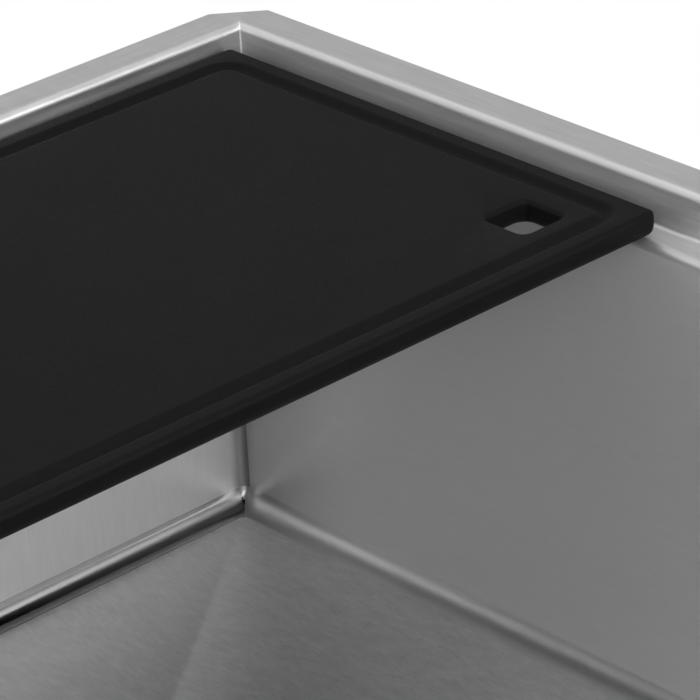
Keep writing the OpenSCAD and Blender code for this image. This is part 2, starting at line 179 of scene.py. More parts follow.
# Most values of a noise lie in a band, which is spread over a finish's tones and its roughness
steelBand, mouldedBand = (0.25, 0.75), (0.3, 0.7)


def hexToLinear(code):
    # An sRGB colour as linear light, by the steps of the sRGB standard
    channels = [int(code[i:i + 2], 16) / 255 for i in (1, 3, 5)]
    return tuple(c / 12.92 if c <= 0.04045 else ((c + 0.055) / 1.055) ** 2.4 for c in channels) + (1,)


def addNode(tree, kind, inputs=None, stops=(), **settings):
    # A new node with its settings. An input is given a value, or is linked when it is given another node's output,
    # and a colour ramp is given its stops
    node = tree.nodes.new("ShaderNode" + kind)
    for name, value in settings.items():
        setattr(node, name, value)
    for name, value in (inputs or {}).items():
        if isinstance(value, bpy.types.NodeSocket):
            tree.links.new(value, node.inputs[name])
        else:
            node.inputs[name].default_value = value
    for i, (position, code) in enumerate(stops):
        node.color_ramp.elements[i].position = position
        node.color_ramp.elements[i].color = hexToLinear(code)
    return node


def newMaterial(name):
    material = bpy.data.materials.new(name)
    material.use_nodes = True
    material.node_tree.nodes.clear()
    return material, material.node_tree


def stretchedNoise(tree, coords, wavelengths, detail=2.0, roughness=0.5, offset=(0, 0, 0)):
    # Noise whose features are about this many millimetres long on X, Y and Z
    scale = tuple(1 / (length * mm) for length in wavelengths)
    placed = addNode(tree, "Mapping", {"Scale": scale, "Location": offset, "Vector": coords}).outputs["Vector"]
    return addNode(tree, "TexNoise", {"Scale": 1.0, "Detail": detail, "Roughness": roughness,
                                      "Vector": placed}).outputs["Fac"]


def brushedSteel(name, finish):
    # 304 stainless sheet, belt-brushed: fine scratches along one direction that soften what the metal mirrors
    material, tree = newMaterial(name)
    coords = addNode(tree, "TexCoord").outputs["Object"]
    fine = stretchedNoise(tree, coords, finish["fine"], 3.0, 0.6)
    broad = stretchedNoise(tree, coords, finish["broad"], 2.0, 0.5, (3.7, 1.3, 5.1))
    if "fineEnds" in finish:  # the end rims are brushed front to back, and meet the long rims without a seam
        ends = stretchedNoise(tree, coords, finish["fineEnds"], 3.0, 0.6)
        place = addNode(tree, "SeparateXYZ", {"Vector": coords})
        fromX = addNode(tree, "Math", {0: place.outputs["X"]}, operation="ABSOLUTE").outputs[0]
        fromY = addNode(tree, "Math", {0: place.outputs["Y"]}, operation="ABSOLUTE").outputs[0]
        apart = addNode(tree, "Math", {0: fromX, 1: fromY}, operation="SUBTRACT").outputs[0]
        start, end = finish["mitre"]
        turn = addNode(tree, "MapRange", {"From Min": start * mm, "From Max": end * mm,
                                          "Value": apart}).outputs["Result"]
        fine = addNode(tree, "Mix", {0: turn, 2: fine, 3: ends}, data_type="FLOAT").outputs[0]
    streaks = addNode(tree, "Mix", {0: finish["broadShare"], 2: fine, 3: broad}, data_type="FLOAT").outputs[0]
    low, high = steelBand
    colour = addNode(tree, "ValToRGB", {"Fac": streaks},
                     stops=((low, finish["darkTone"]), (high, finish["lightTone"]))).outputs["Color"]
    if "paintedCornerShade" in finish:  # painted shade: darker towards the upright welds in the corners, where shade falls
        axis, start, end, shade = finish["paintedCornerShade"]
        place = addNode(tree, "SeparateXYZ", {"Vector": coords}).outputs[axis]
        fromMiddle = addNode(tree, "Math", {0: place}, operation="ABSOLUTE").outputs[0]
        near = addNode(tree, "MapRange", {"From Min": start * mm, "From Max": end * mm, "Value": fromMiddle},
                       interpolation_type="SMOOTHSTEP").outputs["Result"]
        colour = addNode(tree, "Mix", {0: near, 6: colour, 7: hexToLinear(shade)}, data_type="RGBA").outputs[2]
    smooth, dull = finish["roughness"]
    rough = addNode(tree, "MapRange", {"From Min": low, "From Max": high, "To Min": smooth, "To Max": dull,
                                       "Value": streaks}).outputs["Result"]
    bump = addNode(tree, "Bump", {"Strength": finish["bump"], "Distance": 0.02 * mm, "Height": streaks})
    if "fineEnds" in finish:
        along = addNode(tree, "Mix", {0: turn, 2: 1.0, 3: 0.0}, data_type="FLOAT").outputs[0]
        direction = addNode(tree, "CombineXYZ", {"X": along, "Y": turn, "Z": 0.0})
    elif finish["grain"] == "length":
        direction = addNode(tree, "CombineXYZ", {"X": 1.0, "Y": 0.0, "Z": 0.0})
    else:  # front to back, or down the end walls, round their fillets and along the floor
        across = {"depth": (0, 0, 1), "height": (0, 1, 0)}[finish["grain"]]
        normal = addNode(tree, "NewGeometry").outputs["Normal"]
        direction = addNode(tree, "VectorMath", {0: normal, 1: across}, operation="CROSS_PRODUCT")
    metallic = finish["metallic"]
    if "haze" in finish:  # scuffed on its lower part
        start, end, scuffed = finish["haze"]
        height = addNode(tree, "SeparateXYZ", {"Vector": coords}).outputs["Z"]
        metallic = addNode(tree, "MapRange", {"From Min": end * mm, "From Max": start * mm, "To Min": scuffed,
                                              "To Max": metallic, "Value": height},
                           interpolation_type="SMOOTHSTEP").outputs["Result"]
    # A quarter turn sets the blur across the scratches
    shader = addNode(tree, "BsdfPrincipled", {
        "Metallic": metallic, "Anisotropic": finish["anisotropy"], "Anisotropic Rotation": 0.25, "Base Color": colour,
        "Roughness": rough, "Normal": bump.outputs["Normal"], "Tangent": direction.outputs[0]})
    addNode(tree, "OutputMaterial", {"Surface": shader.outputs["BSDF"]})
    return material


# In mm: the lengths of the scratches on X, Y and Z, where the rims' two grains meet, and where the painted shade in the
# corners next to the welds and the haze begin and end
steelFinish = {
    "rim": {"fine": (40, 1.8, 40), "fineEnds": (1.8, 40, 40), "mitre": (149.4, 155.4),
            "broad": (30, 6, 30), "broadShare": 0.3,
            "darkTone": "#C8C8C8", "lightTone": "#DEDEDE", "roughness": (0.27, 0.35), "bump": 0.25,
            "grain": "length", "anisotropy": 0.5, "metallic": 1.0},
    "upperSide": {"fine": (35, 1.4, 1.4), "broad": (30, 6, 6), "broadShare": 0.3,
                  "darkTone": "#C6C6C6", "lightTone": "#DADADA", "roughness": (0.38, 0.44), "bump": 0.15,
                  "grain": "length", "anisotropy": 0.5, "metallic": 0.8},
    "upperEnd": {"fine": (1.4, 35, 1.4), "broad": (6, 30, 6), "broadShare": 0.3,
                 "darkTone": "#C6C6C6", "lightTone": "#DADADA", "roughness": (0.30, 0.36), "bump": 0.15,
                 "grain": "depth", "anisotropy": 0.5, "metallic": 1.0, "haze": (-5.2, -7.6, 0.9)},
    "longWall": {"fine": (22, 22, 0.9), "broad": (14, 14, 5), "broadShare": 0.4,
                 "darkTone": "#D4D4D4", "lightTone": "#DCDCDC", "roughness": (0.46, 0.52), "bump": 0.08,
                 "grain": "length", "anisotropy": 0.6, "metallic": 0.7,
                 # Painted shade: the long walls darken towards the corner welds
                 "paintedCornerShade": ("X", 300, 385.5, "#B6B6B6")},
    "endWall": {"fine": (0.9, 0.9, 22), "broad": (5, 5, 14), "broadShare": 0.4,
                "darkTone": "#D2D2D2", "lightTone": "#DEDEDE", "roughness": (0.42, 0.50), "bump": 0.15,
                "grain": "height", "anisotropy": 0.8, "metallic": 0.7,
                # Painted shade: the end walls darken towards the corner welds
                "paintedCornerShade": ("Y", 208.5, 217.8, "#7C7C7C")},
    "floor": {"fine": (4.5, 0.9, 30), "broad": (10, 4, 30), "broadShare": 0.4,
              "darkTone": "#C6C6C6", "lightTone": "#E8E8E8", "roughness": (0.40, 0.52), "bump": 0.3,
              "grain": "height", "anisotropy": 0.6, "metallic": 0.75},
    "outside": {"fine": (40, 40, 1.2), "broad": (12, 12, 12), "broadShare": 0.5,
                "darkTone": "#B5B5B5", "lightTone": "#C8C8C8", "roughness": (0.34, 0.44), "bump": 0.15,
                "grain": "length", "anisotropy": 0.2, "metallic": 1.0},
    # The end fillets: a darker copy of the sheet's tone, painted shade that dims what they mirror
    "endFillet": {"fine": (9, 0.9, 9), "broad": (14, 5, 14), "broadShare": 0.4,
                  "darkTone": "#A0A0A0", "lightTone": "#A6A6A6", "roughness": (0.15, 0.16), "bump": 0.01,
                  "grain": "height", "anisotropy": 0.6, "metallic": 1.0, "haze": (-253.6, -254.1, 0.85)},
    "longFillet": {"fine": (22, 9, 2), "broad": (14, 9, 5), "broadShare": 0.4,
                   "darkTone": "#DADADA", "lightTone": "#E2E2E2", "roughness": (0.36, 0.39), "bump": 0.05,
                   "grain": "length", "anisotropy": 0.5, "metallic": 0.88,
                   # Painted shade: the long fillets darken towards the corner welds
                   "paintedCornerShade": ("X", 290, 380, "#B4B4B4")},
    # The weld seams in the lower corners: a ground seam whose dark tone is partly painted shade of the tight corner
    "weldLineAndShade": {"fine": (1.5, 1.5, 1.5), "broad": (3, 3, 6), "broadShare": 0.4,
                 "darkTone": "#6A6A6A", "lightTone": "#868686", "roughness": (0.5, 0.6), "bump": 0.3,
                 "grain": "height", "anisotropy": 0.0, "metallic": 0.9},
    # Ground welds above the ledges: a paler, less metallic tone, a painted highlight along the seams
    "upperWeldHighlight": {"fine": (1.5, 1.5, 1.5), "broad": (3, 3, 6), "broadShare": 0.4,
                  "darkTone": "#D8D8D8", "lightTone": "#E8E8E8", "roughness": (0.5, 0.6), "bump": 0.3,
                  "grain": "height", "anisotropy": 0.0, "metallic": 0.4},
}
# Brushed sheet in the bowl, satin press folds at its foot with the end folds darker as painted shade, ground welds in
# its corners, darker as painted shade below the ledges and paler as a painted highlight above them, and plain mill
# finish outside
steelNames = {
    "rim": "brushedSteelRim", "upperSide": "brushedSteelLedges", "upperEnd": "brushedSteelShortWalls",
    "longWall": "brushedSteelLongWalls", "endWall": "brushedSteelEndWalls", "floor": "brushedSteelFloor",
    "outside": "millSteelOutside", "endFillet": "foldedSteelEndsPaintedShade", "longFillet": "foldedSteelSides",
    "weldLineAndShade": "weldedSeamWithPaintedShade", "upperWeldHighlight": "groundWeldRimPaintedHighlight",
}
sheetSteels = [brushedSteel(steelNames[part], finish) for part, finish in steelFinish.items()]


def compositeMaterial(name, dark, light):
    # Pressed wood fibre and resin, dyed through and sanded matt: near black, with short pale fibres and a soft sheen
    material, tree = newMaterial(name)
    coords = addNode(tree, "TexCoord").outputs["Object"]
    fibres = stretchedNoise(tree, coords, (5, 0.9, 2), 3.0, 0.65)
    clouds = stretchedNoise(tree, coords, (40, 30, 20), 2.0, 0.5)
    grit = stretchedNoise(tree, coords, (0.8, 0.8, 0.8), 1.0, 0.5, (2.2, 7.1, 0.4))
    blend = addNode(tree, "Mix", {0: 0.4, 2: fibres, 3: clouds}, data_type="FLOAT").outputs[0]
    low, high = mouldedBand
    tone = addNode(tree, "ValToRGB", {"Fac": blend}, stops=((low, dark), (high, light)))
    rough = addNode(tree, "MapRange", {"From Min": low, "From Max": high, "To Min": 0.46, "To Max": 0.56,
                                       "Value": grit}).outputs["Result"]
    bump = addNode(tree, "Bump", {"Strength": 0.25, "Distance": 0.03 * mm, "Height": grit})
    shader = addNode(tree, "BsdfPrincipled", {
        "IOR": 1.5, "Specular IOR Level": 0.065, "Base Color": tone.outputs["Color"], "Roughness": rough,
        "Normal": bump.outputs["Normal"]})
    addNode(tree, "OutputMaterial", {"Surface": shader.outputs["BSDF"]})
    return material


def mouldedMaterial(name, dark, light, roughness, grit, bumpStrength, ior=1.5, metallic=0.0, cells=False):
    # A moulded or cast finish: one colour with slight clouding, and a fine grit in mm that breaks up its sheen
    material, tree = newMaterial(name)
    coords = addNode(tree, "TexCoord").outputs["Object"]
    clouds = stretchedNoise(tree, coords, (grit * 12,) * 3, 3.0, 0.55)
    if cells:
        placed = addNode(tree, "Mapping", {"Scale": (1 / (grit * mm),) * 3, "Vector": coords}).outputs["Vector"]
        height = addNode(tree, "TexVoronoi", {"Scale": 1.0, "Vector": placed}).outputs["Distance"]
    else:
        height = stretchedNoise(tree, coords, (grit,) * 3, 2.0, 0.5)
    low, high = mouldedBand
    tone = addNode(tree, "ValToRGB", {"Fac": clouds}, stops=((low, dark), (high, light)))
    rough = addNode(tree, "MapRange", {"From Min": low, "From Max": high, "To Min": roughness[0],
                                       "To Max": roughness[1], "Value": clouds}).outputs["Result"]
    bump = addNode(tree, "Bump", {"Strength": bumpStrength, "Distance": 0.05 * mm, "Height": height})
    kind = {"Metallic": metallic} if metallic else {"IOR": ior}
    shader = addNode(tree, "BsdfPrincipled", {"Base Color": tone.outputs["Color"], "Roughness": rough,
                                              "Normal": bump.outputs["Normal"], **kind})
    addNode(tree, "OutputMaterial", {"Surface": shader.outputs["BSDF"]})
    return material


boardComposite = compositeMaterial("dyedFibreComposite", "#0B0B0B", "#111111")
# Calendered butyl sheet: dull dark grey with a fine pebble
padRubber = mouldedMaterial("butylRubberPad", "#3E4042", "#4B4D4F", (0.7, 0.85), 1.2, 0.5, ior=1.52)
# Spun steel, buffed: sharp, bright reflections. The basket's steel is electropolished, which leaves them softer
polishedSteel = mouldedMaterial("polishedSteel", "#C9C8C5", "#D6D5D2", (0.08, 0.16), 1.5, 0.04, metallic=1.0)
satinSteel = mouldedMaterial("electropolishedSteel", "#BDBDBA", "#CFCFCC", (0.16, 0.26), 1.0, 0.08, metallic=1.0)
# Foamed polyethylene: dull, with a skin of small cells. Moulded nitrile: near black with a soft sheen
gasketFoam = mouldedMaterial("closedCellFoam", "#33383A", "#40464A", (0.75, 0.9), 0.6, 0.6, ior=1.45, cells=True)
blackRubber = mouldedMaterial("nitrileRubber", "#1B1B1C", "#262627", (0.5, 0.65), 0.7, 0.25, ior=1.52)
# Pressed paper fibre: brown and matt. Bare die-cast zinc: grey metal with a slightly grainy skin
fibreBoard = mouldedMaterial("vulcanisedFibre", "#8A6A4B", "#A58360", (0.6, 0.75), 0.5, 0.3, ior=1.5)
castZinc = mouldedMaterial("dieCastZinc", "#8E9091", "#A4A6A7", (0.36, 0.5), 0.8, 0.3, metallic=1.0)
# Moulded plastics: black with a fine texture, and milky white and waxy
knobPlastic = mouldedMaterial("glassFilledNylon", "#1E1F21", "#292A2C", (0.38, 0.5), 0.5, 0.2, ior=1.53)
whitePlastic = mouldedMaterial("naturalPolyethylene", "#DAD9D3", "#E6E5E0", (0.4, 0.55), 0.8, 0.1, ior=1.51)
# Chrome on drawn brass: a cool mirror
chromedTube = mouldedMaterial("chromedBrass", "#CBD0D3", "#D9DCDE", (0.05, 0.10), 2.0, 0.03, metallic=1.0)
print("materials ready:", len(bpy.data.materials))


# The bowl: one folded and welded shell of sheet steel

bowl = {
    "rimHalf": (406.4, 254), "cornerCut": (18, 22), "openHalf": (386.4, 234), "bowlHalf": (386.4, 218),
    "foldRadius": 4, "innerFold": 2.5, "ledgeDrop": 22, "depth": 254, "floorFillet": 10,
    "seamRadius": 0.6, "weldRadius": 4, "drain": (-222, 0), "fall": 6, "lipRadius": 62,
    # The drain's seat: radii with their drop under the floor, and radii with their height over the seat's own floor
    "seat": [(61.2, 0.02), (60.7, 0.16), (60.3, 0.45), (60.05, 0.9)], "seatFloor": -262.5,
    "seatFoot": [(60, 0.5), (59.8, 0.15), (59.4, 0), (50, 0)], "holeRadius": 45,
    "sheet": 1.5, "edgeBevel": 0.25, "middleZ": -140,
    "floorShares": (0.015, 0.1, 0.25, 0.45, 0.65, 0.8, 0.92, 1.0),
    # The creases stay shallower than the sheet is thick. Their depth grows towards the drain by this power, and
    # fades out over the last share of the way
    "crease": 1.5, "creaseWidth": 22, "creasePower": 0.65, "creaseFade": 0.12,
    # Past these distances from the middle a vertex lies on the rim's cut edge, on a side or across a corner
    "sideEdge": (400, 250), "cutEdge": (388, 231),
    # How far down the bends the rim's finish reaches, at the sides and at the ends
    "rimBend": 1.2, "endBend": 3,
}
foldSteps, innerSteps, filletSteps = 10, 6, 12


def quarterTurns(steps, first=0):
    return [i / steps * math.pi / 2 for i in range(first, steps + 1)]


def floorRing(outer, share):
    # The floor's four slopes are straight lines from its edge towards the drain's centre, up to the seat's lip
    dx, dy = bowl["drain"]
    points = []
    for x, y, z in outer:
        reach = math.hypot(x - dx, y - dy)
        stop = bowl["lipRadius"] / reach
        s = 1 - share * (1 - stop)
        points.append((dx + (x - dx) * s, dy + (y - dy) * s, z - bowl["fall"] * (1 - s) - creaseDepth(x, y, s, share)))
    return points


def creaseDepth(x, y, s, share):
    # A pressed crease runs from each corner of the floor towards the drain, and its sides die out slowly
    dx, dy = bowl["drain"]
    x, y = (x - dx) * s, (y - dy) * s
    depth = 0
    for signX, signY in ((-1, -1), (-1, 1), (1, -1), (1, 1)):
        endX = signX * (bowl["openHalf"][0] - bowl["floorFillet"]) - dx
        endY = signY * (bowl["bowlHalf"][1] - bowl["floorFillet"]) - dy
        if x * endX + y * endY > 0:
            aside = (x * endY - y * endX) / math.hypot(endX, endY)
            depth += math.exp((1 - math.hypot(aside, 1)) / bowl["creaseWidth"])
    return bowl["crease"] * depth * share ** bowl["creasePower"] * min(1, (1 - share) / bowl["creaseFade"])


def seatRing(outer, radius, drop, flatZ=None):
    # A ring of the drain's seat, this much under the floor's slopes or at one height
    dx, dy = bowl["drain"]
    points = []
    for x, y, z in outer:
        reach = math.hypot(x - dx, y - dy)
        slope = z - bowl["fall"] * (1 - radius / reach)
        height = slope - drop if flatZ is None else flatZ
        points.append((dx + (x - dx) * radius / reach, dy + (y - dy) * radius / reach, height))
    return points


def buildBowl():
    bm = bmesh.new()
    rimX, rimY = bowl["rimHalf"]
    openX, openY = bowl["openHalf"]
    lowY = bowl["bowlHalf"][1]
    fold, tight, seam = bowl["foldRadius"], bowl["innerFold"], bowl["seamRadius"]
    cut = bowl["cornerCut"]
    # Loops a few tenths of a millimetre from each bend keep its shading tight
    ring = startRing(bm, outlineRing(rimX, rimY, 0, cut, straightCut=True))
    ring = extrudeRing(bm, ring, outlineRing(rimX - 0.8, rimY - 0.8, 0, (cut[0] - 0.3, cut[1] - 0.3), straightCut=True))
    ring = extrudeRing(bm, ring, outlineRing(openX + fold + 0.4, openY + fold + 0.4, 0, seam))
    for turn in quarterTurns(foldSteps):  # the fold down from the rim
        out = fold * (1 - math.sin(turn))
        ring = extrudeRing(bm, ring, outlineRing(openX + out, openY + out, -fold * (1 - math.cos(turn)), seam))
    ledgeZ = -bowl["ledgeDrop"]
    ring = extrudeRing(bm, ring, outlineRing(openX, openY, -fold - 0.3, seam))
    ring = extrudeRing(bm, ring, outlineRing(openX, openY, ledgeZ + tight, seam))
    # Chains of the long sides, each with its corners' small arcs, run down over the ledges
    turns = cornerTurns
    sideCount = [count + 2 * len(nearCorner) - 1 for count in sideSteps]
    starts = []
    at = 0
    for i in range(4):
        at += sideCount[i % 2]
        starts.append(at)
        at += turns + 1
    profile = [(openY - tight * (1 - math.cos(t)), ledgeZ + tight * (1 - math.sin(t)))
               for t in quarterTurns(innerSteps, 1)]
    profile += [(openY - tight - 0.3, ledgeZ), (lowY + fold + 0.3, ledgeZ)]
    profile += [(lowY + fold * (1 - math.sin(t)), ledgeZ - fold * (1 - math.cos(t)))
                for t in quarterTurns(foldSteps)]
    traces = []
    chains = []
    for sign, first, last in ((1, starts[0], starts[1] + turns), (-1, starts[2], starts[3] + turns)):
        chain = [ring[k] for k in range(first, last + 1)]
        inset = [(v.co.x, sign * openY - v.co.y) for v in chain]
        startTrace, endTrace = [chain[0]], [chain[-1]]
        for y, z in profile:
            points = [(x, sign * y - back, z) for x, back in inset]
            chain = extrudeRing(bm, chain, points, closed=False)
            startTrace.append(chain[0])
            endTrace.append(chain[-1])
        traces.append((startTrace, endTrace))
        chains.append(chain)
    # The end walls between the ledges' profiles stay flat
    rightEnd = ring[starts[3] + turns:] + ring[:starts[0] + 1]
    leftEnd = ring[starts[1] + turns:starts[2] + 1]
    lows = []
    for ends, upper, lower in ((rightEnd, traces[1][1], traces[0][0]), (leftEnd, traces[0][1], traces[1][0])):
        a, b = upper[-1].co, lower[-1].co
        low = []
        for vert in ends[1:-1]:
            share = (vert.co.y - ends[0].co.y) / (ends[-1].co.y - ends[0].co.y)
            low.append(bm.verts.new((a.x, a.y + (b.y - a.y) * share, a.z)))
        chainLow = [upper[-1]] + low + [lower[-1]]
        for pair in zip(chainLow, chainLow[1:]):
            bm.edges.new(pair)
        bm.faces.new(ends + lower[1:] + chainLow[::-1][1:] + upper[1:-1][::-1])
        lows.append(low)
    ring = lows[0] + chains[0] + lows[1] + chains[1]
    # Below the ledges: upright walls with ground welds, which reach their full radius a little further down, the
    # rounded foot and the sloping floor
    weld, fillet, deep = bowl["weldRadius"], bowl["floorFillet"], bowl["depth"]
    for z, radius in ((ledgeZ - fold - 1.5, 1.8), (ledgeZ - fold - 4, weld), (bowl["middleZ"], weld),
                      (fillet - deep + 0.6, weld)):
        ring = extrudeRing(bm, ring, outlineRing(openX, lowY, z, radius))
    for turn in quarterTurns(filletSteps):
        inset = fillet * (1 - math.cos(turn))
        outer = outlineRing(openX - inset, lowY - inset, fillet - deep - fillet * math.sin(turn), weld)
        ring = extrudeRing(bm, ring, outer)
    for share in bowl["floorShares"]:
        ring = extrudeRing(bm, ring, floorRing(outer, share))
    for radius, drop in bowl["seat"]:
        ring = extrudeRing(bm, ring, seatRing(outer, radius, drop))
    for radius, above in bowl["seatFoot"] + [(bowl["holeRadius"], 0)]:
        ring = extrudeRing(bm, ring, seatRing(outer, radius, 0, bowl["seatFloor"] + above))
    bmesh.ops.recalc_face_normals(bm, faces=bm.faces)
    if sum(f.normal.z * f.calc_area() for f in bm.faces) < 0:  # the sheet's face side looks up and into the bowl
        bmesh.ops.reverse_faces(bm, faces=bm.faces)
    inner = set(bm.faces)
    bmesh.ops.solidify(bm, geom=list(bm.faces), thickness=bowl["sheet"])
    return bm, inner


def finishAt(face):
    # Which of the finishes a face of the bowl's inner side has, by its place
    openX, openY = bowl["openHalf"]
    lowY, weld, ledgeZ = bowl["bowlHalf"][1], bowl["weldRadius"], -bowl["ledgeDrop"]
    wallFoot, seam = bowl["floorFillet"] - bowl["depth"], bowl["seamRadius"] + 0.01
    x, y, z = face.calc_center_median()
    x, y, atEnd = abs(x), abs(y), abs(face.normal.x) > abs(face.normal.y)
    onEnd = atEnd and x > openX - 0.5
    inWeld = x > openX - weld and y > lowY - weld and z < ledgeZ - 2 * weld
    if z > ledgeZ + 0.5 and openX - seam < x < openX and openY - seam < y < openY:  # the seams above the ledges, paler as a painted highlight
        return "upperWeldHighlight"
    # The rim, the short walls under it and the ledges with their bends
    if z > ledgeZ - bowl["foldRadius"] - 0.2 and not (z < ledgeZ and y < lowY - 1):
        if z >= -bowl["rimBend"]:
            return "rim"
        if atEnd:
            return "upperEnd" if onEnd and z < -bowl["endBend"] else "rim"
        return "upperSide"
    if z > wallFoot:
        if inWeld:
            return "weldLineAndShade" if y > lowY - 0.15 else "endWall"
        return "endWall" if onEnd else "longWall"
    if z > -bowl["depth"] - 0.01:
        return "endFillet" if atEnd and x - openX > y - lowY and not inWeld else "longFillet"
    return "floor"


def onCutEdge(edge):
    (sideX, sideY), (cutX, cutY) = bowl["sideEdge"], bowl["cutEdge"]
    places = [(abs(v.co.x), abs(v.co.y), v.co.z) for v in edge.verts]
    return all(z > -2 and (x > sideX or y > sideY or (x > cutX and y > cutY)) for x, y, z in places)


bm, inner = buildBowl()
heights = [vert.co.z for vert in bm.verts]
print("bowl heights:", round(min(heights), 2), round(max(heights), 2), "faces", len(bm.faces))
finishes = list(steelFinish)
for face in bm.faces:
    face.material_index = finishes.index(finishAt(face) if face in inner else "outside")
bevelEdges(bm, bowl["edgeBevel"], angle=60, segments=2, test=onCutEdge)
finishPiece(bm, "bowlShell", "sink", sheetSteels,
            ("bowl_wrap", "left_end_panel", "right_end_panel"), closed=False)
print("bowl built")


# The cutting board

board = {
    "centre": (-246.0, 0), "half": (138.8, 225.8), "top": -9.5, "bottom": -22, "corner": 3,
    "topEdge": 1.5, "rightEdge": 3, "sideFoot": 6, "endFoot": 2, "footBlend": 60,
    # The groove's middle line has this inset and corner radius. A power under 1 makes the groove fuller
    "grooveInset": 13, "grooveTurn": 9, "grooveHalf": 5, "grooveDepth": 2.2, "grooveSteps": 16, "groovePower": 0.8,
    "hole": (-146.2, 183.7), "holeHalf": 12.5, "holeTurn": 3.5, "holeBevel": 1.5, "holeFoot": 6.5,
    "edgeSteps": 8, "footSteps": 6, "cornerTurns": 8,
}


def boardRing(inset, z, corner):
    halfX, halfY = board["half"]
    return outlineRing(halfX - inset, halfY - inset, z, corner, turns=board["cornerTurns"], centre=board["centre"])


def boardFoot(turn):
    # The sides' foot radius runs round the upright corners and then tapers to that of the ends
    side, end, (centreX, _) = board["sideFoot"], board["endFoot"], board["centre"]
    pull = side * (1 - math.sin(turn))
    corner = max(board["corner"] - pull, 1)
    halfX, halfY = (half - pull for half in board["half"])
    placed = []
    for x, y, _ in outlineRing(halfX, halfY, 0, corner, turns=board["cornerTurns"]):
        fromCorner = halfX - corner - abs(x) if abs(y) > halfY - 0.001 else 0
        radius = end + (side - end) * max(0, 1 - max(0, fromCorner) / board["footBlend"])
        out = math.copysign((side - radius) * (1 - math.sin(turn)), y)
        placed.append((centreX + x, y + out, board["bottom"] + radius * (1 - math.cos(turn))))
    return placed


def boardTop(turn, inset=0.0):
    # The side at the finger hole is rounded more than the other three
    sharp, full, (centreX, _) = board["topEdge"], board["rightEdge"], board["centre"]
    others, right = (radius * (1 - math.cos(turn)) + inset for radius in (sharp, full))
    corner = max(board["corner"] - others, 1)
    halfX, halfY = board["half"][0] - (others + right) / 2, board["half"][1] - others
    placed = []
    for x, y, _ in outlineRing(halfX, halfY, 0, corner, turns=board["cornerTurns"]):
        overX, overY = max(0, x - halfX + corner), max(0, abs(y) - halfY + corner)
        radius = sharp + (full - sharp) * (overX * overX / (overX * overX + overY * overY) if overX else 0)
        placed.append((centreX + (others - right) / 2 + x, y, board["top"] - radius * (1 - math.sin(turn))))
    return placed


def buildBoard():
    bm = bmesh.new()
    top, bottom = board["top"], board["bottom"]
    ring = low = startRing(bm, boardFoot(0))
    for turn in quarterTurns(board["edgeSteps"], 1):
        ring = extrudeRing(bm, ring, boardFoot(turn))
    ring = extrudeRing(bm, ring, boardRing(0, top - board["rightEdge"] - 0.2, board["corner"]))
    for turn in quarterTurns(board["edgeSteps"]):
        ring = extrudeRing(bm, ring, boardTop(turn))
    ring = extrudeRing(bm, ring, boardTop(math.pi / 2, inset=0.3))
    # The groove runs between two lines that keep the flat faces flat
    half, middle, corner, steps = (board["groove" + key] for key in ("Half", "Inset", "Turn", "Steps"))
    ring = extrudeRing(bm, ring, boardRing(middle - half - 0.5, top, corner + half + 0.5))
    for i in range(steps + 1):
        across = half * (2 * i / steps - 1)
        sunk = board["grooveDepth"] * ((1 + math.cos(math.pi * across / half)) / 2) ** board["groovePower"]
        ring = extrudeRing(bm, ring, boardRing(middle + across, top - sunk, corner - across))
    ring = extrudeRing(bm, ring, boardRing(middle + half + 0.5, top, corner - half - 0.5))
    field = ringEdges(bm, ring)
    # The finger hole, bevelled at the top and eased below
    holeHalf, turn, bevel = board["holeHalf"], board["holeTurn"], board["holeBevel"]
    outlines = [(bevel + 0.3, top, turn + bevel), (bevel, top - 0.06, turn + bevel),
                (0.1, top - bevel + 0.06, turn + 0.2), (0, top - bevel - 0.3, turn)]
    foot = board["holeFoot"]
    outlines += [(foot * (1 - math.cos(t)), bottom + foot * (1 - math.sin(t)), turn + foot * (1 - math.cos(t)))
                 for t in quarterTurns(board["footSteps"])]
    holeRing = holeTop = None
    for grow, z, radius in outlines:
        points = outlineRing(holeHalf + grow, holeHalf + grow, z, radius, centre=board["hole"],
                             turns=board["cornerTurns"], steps=(2, 2))
        holeRing = startRing(bm, points) if holeRing is None else extrudeRing(bm, holeRing, points)
        holeTop = holeTop or holeRing
    for edges in (field + ringEdges(bm, holeTop), ringEdges(bm, low) + ringEdges(bm, holeRing)):
        bmesh.ops.triangle_fill(bm, edges=edges, use_beauty=True, use_dissolve=False)
    return bm


boardPiece = finishPiece(buildBoard(), "cuttingBoard", "board", [boardComposite],
                         ("cutting_board",), sharpAngle=50)
print("board built:", len(boardPiece.data.polygons), "faces")


# Rubber pads on the outside of the bowl

pads = {
    "walls": ("front_wall_pad", "back_wall_pad", "left_wall_pad", "right_wall_pad"),
    "floors": ("left_floor_pad", "right_floor_pad"), "edge": 0.7, "cornerRadius": 6,
}


def wallPad(node):
    # A plate as large as its node, whose four corners, the edges along its thin direction, are rounded
    low, high = (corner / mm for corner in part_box(node))
    size = high - low
    thin = min(range(3), key=lambda i: size[i])
    bm = bmesh.new()
    bmesh.ops.create_cube(bm, size=1, matrix=Matrix.Translation((low + high) / 2) @ Matrix.Diagonal((*size, 1)))
    short = [e for e in bm.edges if abs((e.verts[0].co - e.verts[1].co).normalized()[thin]) > 0.9]
    bmesh.ops.bevel(bm, geom=short, offset=pads["cornerRadius"], offset_type="OFFSET", segments=5, profile=0.5,
                    affect="EDGES", clamp_overlap=True, material=-1)
    bevelEdges(bm, pads["edge"], angle=60)
    finishPiece(bm, node.split("_")[0] + "WallPad", "sink", [padRubber], (node,))


for node in pads["walls"]:
    wallPad(node)
for node in pads["floors"]:
    bm = copyOfNode(node)
    bevelEdges(bm, pads["edge"], angle=60)
    finishPiece(bm, node.split("_")[0] + "FloorPad", "sink", [padRubber], (node,))
print("pads built")


# The strainer set in the drain

